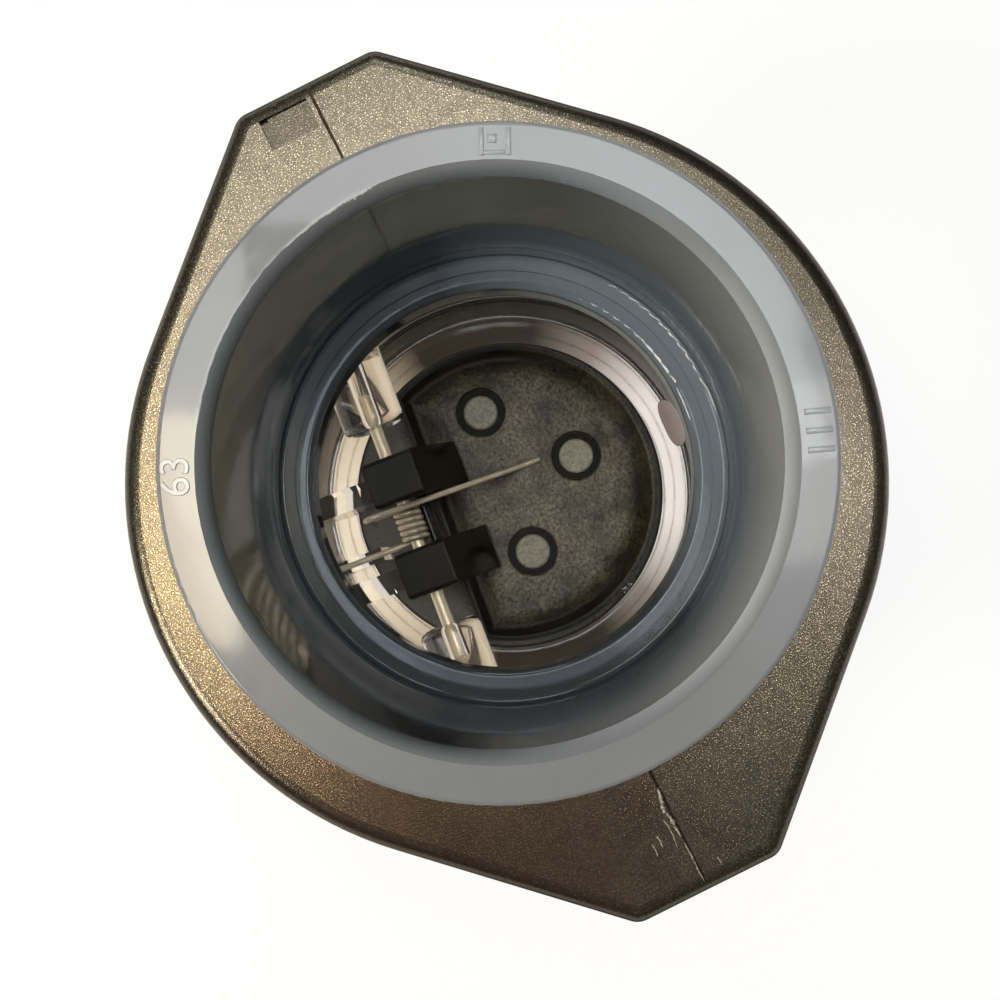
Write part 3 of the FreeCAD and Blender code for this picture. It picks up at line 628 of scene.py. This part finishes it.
marks_pvc = clear_pvc("clear PVC, moulded marks", (0.62, 0.66, 0.70), (0.50, 0.52, 0.54), 0.45, outlet_shadow)
burr_pvc = clear_pvc("clear PVC, burr", (0.80, 0.82, 0.84), (0.72, 0.74, 0.74), 0.55, outlet_shadow)
dress(rim_burr("rim_burr"), burr_pvc)
dress(raised_number("63", "size_number", number_radius, number_angle, number_height), marks_pvc)
for name, across in (("right_bar_a", 2.1), ("right_bar_b", 0.0), ("right_bar_c", -2.1)):
    dress(raised_bar(name, right_marks_angle, across, 33.7, 36.6, 0.33), marks_pvc)
top_bars = {
    "top_bar_a": (1.5, 33.5, 36.6, 0.3),
    "top_bar_b": (-1.5, 33.5, 36.6, 0.3),
    "top_bar_c": (0.0, 33.6, 34.1, 1.3),
    "top_bar_d": (-0.3, 34.9, 35.9, 0.5),
}
for name, (across, low, high, half) in top_bars.items():
    dress(raised_bar(name, top_marks_angle, across, low, high, half), marks_pvc)

# The clamp: two halves of glass-filled nylon with a pointed lug at each end. Their groove pulls the
# two flanges together. The fibres sparkle at the surface; one side has a painted shade, another a painted
# reddish reflection.
clamp_top = top_of("clamp_half_hinge_side")
nylon_ior = 1.52
nylon_dark = (0.068, 0.056, 0.039)
nylon_light = (0.175, 0.148, 0.103)
fibre_glint = (0.50, 0.445, 0.33, 1)
# A painted shade on one side of the clamp and a painted reddish reflection on another.
painted_shade_dark = (0.03, 0.025, 0.018, 1)
shaded_side = (0.365, -0.931, 0.0)
painted_red_reflection = (0.13, 0.065, 0.042, 1)
red_reflection_side = (-0.823, 0.568, 0.0)
# Painted shade below the clamp's top: its hollows and sides are painted darker.
hollow_shade_dark = (0.02, 0.017, 0.012, 1)
hollow_below_top = (0.6, 0.05)
scrape_steps = 26


def glass_filled(name):
    """Dark glass-filled nylon: fine grain with bright specks of fibre, a painted shade on one side, a painted
    reddish reflection on another and a painted shade below its top.
    """
    made = material(name)
    tree = made.node_tree
    speck = grain(tree, 4200.0, 2.0, 0.6)
    mottle = grain(tree, 900.0, 5.0, 0.7)
    cloud = grain(tree, 60.0, 3.0)
    colour = shade(tree, mottle, (0.25, nylon_dark), (0.8, nylon_light))
    colour = mixed(tree, spread(tree, speck, 0.56, 0.68, 0.0, 1.0), colour, fibre_glint)
    # A painted shade on one side.
    colour = mixed(tree, spread(tree, towards(tree, shaded_side), 0.70, 0.97, 0.0, 0.62), colour, painted_shade_dark)
    # A painted reddish reflection on another side.
    colour = mixed(tree, spread(tree, towards(tree, red_reflection_side), 0.70, 0.99, 0.0, 0.5), colour, painted_red_reflection)
    # A painted shade below the top, in the hollows and on the sides.
    colour = mixed(tree, below(tree, clamp_top, hollow_below_top, 0.55, 0.0), colour, hollow_shade_dark)
    skin = add(tree, "BsdfPrincipled", {
        "Base Color": colour,
        "Metallic": 0.85,
        "Roughness": spread(tree, cloud, 0.3, 0.7, 0.20, 0.25),
        "IOR": nylon_ior,
        "Normal": bumped(tree, speck, 0.3, 0.1 * MM),
    })
    output(tree, skin.outputs[0])
    return made


nylon = glass_filled("glass-filled nylon")
finish("clamp_half_hinge_side", nylon)
finish("clamp_half_far_side", nylon)


def scrape(points, width, height, name, seed, rough=0.5):
    """Thin raised ridge on top of the clamp, where a tool or the mould's edge pushed the plastic up."""
    rings = []
    steps = scrape_steps * (len(points) - 1)
    for step in range(steps + 1):
        at = step / scrape_steps
        index = min(int(at), len(points) - 2)
        start = Vector((*points[index], clamp_top))
        end = Vector((*points[index + 1], clamp_top))
        here = start.lerp(end, at - index)
        side = (end - start).cross(Vector((0, 0, 1))).normalized()
        fade = min(1.0, 0.05 + 6 * step / steps, 0.05 + 6 * (1 - step / steps))
        half = 0.5 + 0.5 * rough * waver(at * 3.5, seed) + 0.35 * rough * waver(at * 11, seed + 4)
        half = max(fade * width * half, 0.02)
        rise = fade * height * (0.75 + 0.6 * rough * waver(at * 5, seed + 8))
        shift = side * (0.25 * rough * width * waver(at * 2.4, seed + 2))
        low = Vector((0, 0, -0.06))
        rings.append([(here + shift + side * half + low) * MM,
                      (here + shift + side * half * 0.45 + Vector((0, 0, rise))) * MM,
                      (here + shift - side * half * 0.35 + Vector((0, 0, rise * 0.8))) * MM,
                      (here + shift - side * half + low) * MM])
    return loft(rings, name)


def worn_nylon(name):
    """The same nylon where it was pushed up: paler, stretched and shiny."""
    made = material(name)
    tree = made.node_tree
    mottle = grain(tree, 1500.0, 4.0, 0.7)
    skin = add(tree, "BsdfPrincipled", {
        "Base Color": shade(tree, mottle, (0.3, (0.30, 0.27, 0.21)), (0.7, (0.62, 0.57, 0.47))),
        "Metallic": 0.5,
        "Roughness": spread(tree, mottle, 0.3, 0.7, 0.22, 0.36),
        "IOR": nylon_ior,
        "Normal": bumped(tree, mottle, 0.4, 0.3 * MM),
    })
    output(tree, skin.outputs[0])
    return made


worn = worn_nylon("worn nylon")
seam_burr = [(-49.3, 0.12), (-50.35, 0.3), (-51.6, 0.62), (-52.7, 0.78), (-53.7, 0.45), (-55.2, 0.33),
             (-57.2, 0.24)]
seam_edge_far = [(-57.2, 0.24), (-60.3, 0.14), (-62.5, 0.2), (-64.2, 0.12)]
seam_edge_near = [(45.5, 0.3), (50.0, 0.28), (55.0, 0.26), (60.0, 0.3), (62.0, 0.25)]
dress(scrape(seam_burr, 0.55, 0.16, "seam_burr", 1.0, 1.0), worn)
dress(scrape(seam_edge_far, 0.22, 0.07, "seam_edge_far", 2.0, 1.0), worn)
dress(scrape(seam_edge_near, 0.16, 0.05, "seam_edge_near", 3.0, 0.9), worn)
scrapes = {
    "scrape_a": [(-53.6, 1.5), (-54.8, 1.22), (-56.4, 1.2), (-58.4, 1.46)],
    "scrape_b": [(-55.3, 3.35), (-56.2, 3.2), (-57.3, 3.3)],
    "scrape_c": [(-56.0, 4.5), (-57.1, 4.35), (-58.1, 4.48)],
    "scrape_d": [(-61.7, -3.1), (-62.9, -3.2)],
    "scrape_e": [(61.8, -1.95), (60.9, -2.05)],
    "scrape_f": [(60.0, -2.6), (59.0, -2.85)],
    "scrape_g": [(58.6, -3.85), (57.6, -3.85)],
}
for index, (name, points) in enumerate(scrapes.items()):
    dress(scrape(points, 0.2, 0.06, name, 10.0 + index, 0.6), worn)

# The clamp bolts: two M6 hexagon bolts of zinc plated steel, one through each pair of lugs, put in
# from opposite sides, each with its washers and its nut.
plated = drawn_steel("zinc plated steel", (0.45, 0.44, 0.42), (0.7, 0.69, 0.66), roughness=0.32)
finish("clamp_bolts", plated)
finish("clamp_washers", plated)
finish("clamp_nuts", plated)

# The stand: a white floor that keeps the valve's shadow, plain soft lamps, a black card over the valve
# that its glossy faces mirror, and a camera that looks down the outlet socket. Clear plastic and metal
# also show the white backdrop, and close to the valve a painted ring of light and shade on the floor.
photo_angle = -116.6
photo_turn = Matrix.Rotation(math.radians(photo_angle), 4, "Z")
lamps_aim_at = Vector((0, 0, 0.09))
floor_half = 40.0
to_bright_side = photo_turn @ Vector((0.97, 0.24, 0))
painted_surround_stops = (
    (0.0, (1.0, 0.88, 0.70)),
    (0.16, (0.60, 0.49, 0.36)),
    (0.34, (0.035, 0.026, 0.018)),
    (0.68, (0.035, 0.028, 0.022)),
    (0.84, (0.30, 0.26, 0.23)),
    (0.97, (1.0, 0.95, 0.92)),
)
plain_inside = (30.0 * MM, 31.5 * MM)
plain_beyond = (160.0 * MM, 400.0 * MM)
plain_white = (0.97, 0.97, 0.97, 1)
camera_place = Vector((3.35, -8.72, 278.5)) * MM
camera_lens = 43.24
camera_lean_x = 1.909
camera_lean_y = 1.297
card_place = Vector((-25.0, -16.5, 283.0)) * MM
card_size = (0.070, 0.157, 1.0)


def lamp(name, at, width, depth, brightness, colour):
    """Soft light that faces the valve, as bright as a window of that brightness, placed in metres.

    Its place is given as the camera sees it: to the right, up the picture and above the floor.
    """
    light = bpy.data.lights.new(name, "AREA")
    light.shape = "RECTANGLE"
    light.size = width
    light.size_y = depth
    light.energy = brightness * math.pi * width * depth
    light.color = colour
    made = bpy.data.objects.new(name, light)
    bpy.context.scene.collection.objects.link(made)
    made.location = photo_turn @ Vector(at)
    made.rotation_euler = (lamps_aim_at - made.location).to_track_quat("-Z", "Y").to_euler()


def white_floor(name):
    """White for the camera and grey for the light it throws back; through clear plastic and in mirrors a
    painted ring of light and shade round the valve, white close under it and far off.
    """
    made = material(name)
    tree = made.node_tree
    ray = add(tree, "LightPath").outputs
    away = add(tree, "VectorMath", {0: place(tree)}, operation="LENGTH").outputs["Value"]
    outward = add(tree, "VectorMath", {0: place(tree)}, operation="NORMALIZE").outputs[0]
    across = {0: outward, 1: to_bright_side}
    to_side = add(tree, "VectorMath", across, operation="DOT_PRODUCT").outputs["Value"]
    matt = add(tree, "BsdfDiffuse", {"Color": (0.22, 0.22, 0.22, 1)})
    level = product(tree, ray["Is Camera Ray"], spread(tree, away, 0.2, 1.6, 0.80, 1.0))
    glow = add(tree, "Emission", {"Strength": level})
    white = add(tree, "AddShader", {0: matt.outputs[0], 1: glow.outputs[0]})
    # A painted ring of light and shade round the valve, seen only through clear plastic and in mirrors.
    under = shade(tree, spread(tree, to_side, -1.0, 1.0, 0.0, 1.0), *painted_surround_stops)
    close_by = spread(tree, away, *plain_inside, 1.0, 0.0)
    far_off = spread(tree, away, *plain_beyond, 0.0, 1.0)
    plain = total(tree, close_by, far_off)
    mirrored = add(tree, "Emission", {"Color": mixed(tree, plain, under, plain_white)})
    other_rays = {0: ray["Is Transmission Ray"], 1: ray["Is Glossy Ray"]}
    seen_otherwise = add(tree, "Math", other_rays, operation="MAXIMUM").outputs[0]
    seen = add(tree, "MixShader", {"Fac": seen_otherwise, 1: white.outputs[0], 2: mirrored.outputs[0]})
    output(tree, seen.outputs[0])
    return made


floor_shape = bmesh.new()
bmesh.ops.create_grid(floor_shape, x_segments=1, y_segments=1, size=floor_half)
floor = piece(floor_shape, "floor", smooth=False)
floor.data.materials.append(white_floor("white floor"))

world = bpy.data.worlds.new("studio")
bpy.context.scene.world = world
world.use_nodes = True
world_tree = world.node_tree
world_tree.nodes.clear()
world_ray = add(world_tree, "LightPath").outputs
sky = add(world_tree, "Background", {"Color": (0.95, 0.97, 1.0, 1), "Strength": 0.10})
backdrop = add(world_tree, "Background", {"Color": (1, 1, 1, 1), "Strength": 1.0})
upward = add(world_tree, "SeparateXYZ", {0: add(world_tree, "TexCoord").outputs["Generated"]}).outputs["Z"]
near_horizon = spread(world_tree, upward, 0.3, 0.5, 1.0, 0.0)
through_clear = product(world_tree, world_ray["Is Transmission Ray"], near_horizon)
either = {0: world_ray["Is Camera Ray"], 1: through_clear}
in_view = add(world_tree, "Math", either, operation="MAXIMUM").outputs[0]
seen_sky = add(world_tree, "MixShader", {"Fac": in_view, 1: sky.outputs[0], 2: backdrop.outputs[0]})
add(world_tree, "OutputWorld", {"Surface": seen_sky.outputs[0]})

lamp("warm window", (-0.36, 0.00, 1.25), 0.24, 0.26, brightness=13.5, colour=(1.0, 0.82, 0.54))
lamp("sky window", (-0.075, 0.23, 1.25), 0.68, 0.54, brightness=5.8, colour=(0.965, 0.985, 1.0))
lamp("right window", (0.34, 0.07, 1.22), 0.18, 0.36, brightness=4.2, colour=(1.0, 0.98, 0.94))
lamp("left lamp", (-0.76, -0.36, 0.85), 0.36, 0.36, brightness=14.0, colour=(1.0, 0.93, 0.80))
lamp("back lamp", (-0.10, 0.85, 0.85), 0.36, 0.36, brightness=3.0, colour=(0.90, 0.94, 1.0))

card_shape = bmesh.new()
bmesh.ops.create_grid(card_shape, x_segments=1, y_segments=1, size=0.5)
bmesh.ops.scale(card_shape, verts=card_shape.verts, vec=card_size)
card = piece(card_shape, "black_card", smooth=False)
card.matrix_world = photo_turn @ Matrix.Translation(card_place)
card_paint = material("black card")
card_matt = add(card_paint.node_tree, "BsdfDiffuse", {"Color": (0.004, 0.004, 0.005, 1)})
output(card_paint.node_tree, card_matt.outputs[0])
card.data.materials.append(card_paint)
card.visible_camera = False
card.visible_diffuse = False
card.visible_shadow = False

camera_data = bpy.data.cameras.new("camera")
camera_data.sensor_width = 36.0
camera_data.lens = camera_lens
camera_data.clip_start = 0.01
camera = bpy.data.objects.new("camera", camera_data)
bpy.context.scene.collection.objects.link(camera)
lean_x = Matrix.Rotation(math.radians(camera_lean_x), 4, "X")
lean_y = Matrix.Rotation(math.radians(camera_lean_y), 4, "Y")
camera.matrix_world = photo_turn @ Matrix.Translation(camera_place) @ lean_y @ lean_x
bpy.context.scene.camera = camera
bpy.context.scene.view_settings.view_transform = "Standard"
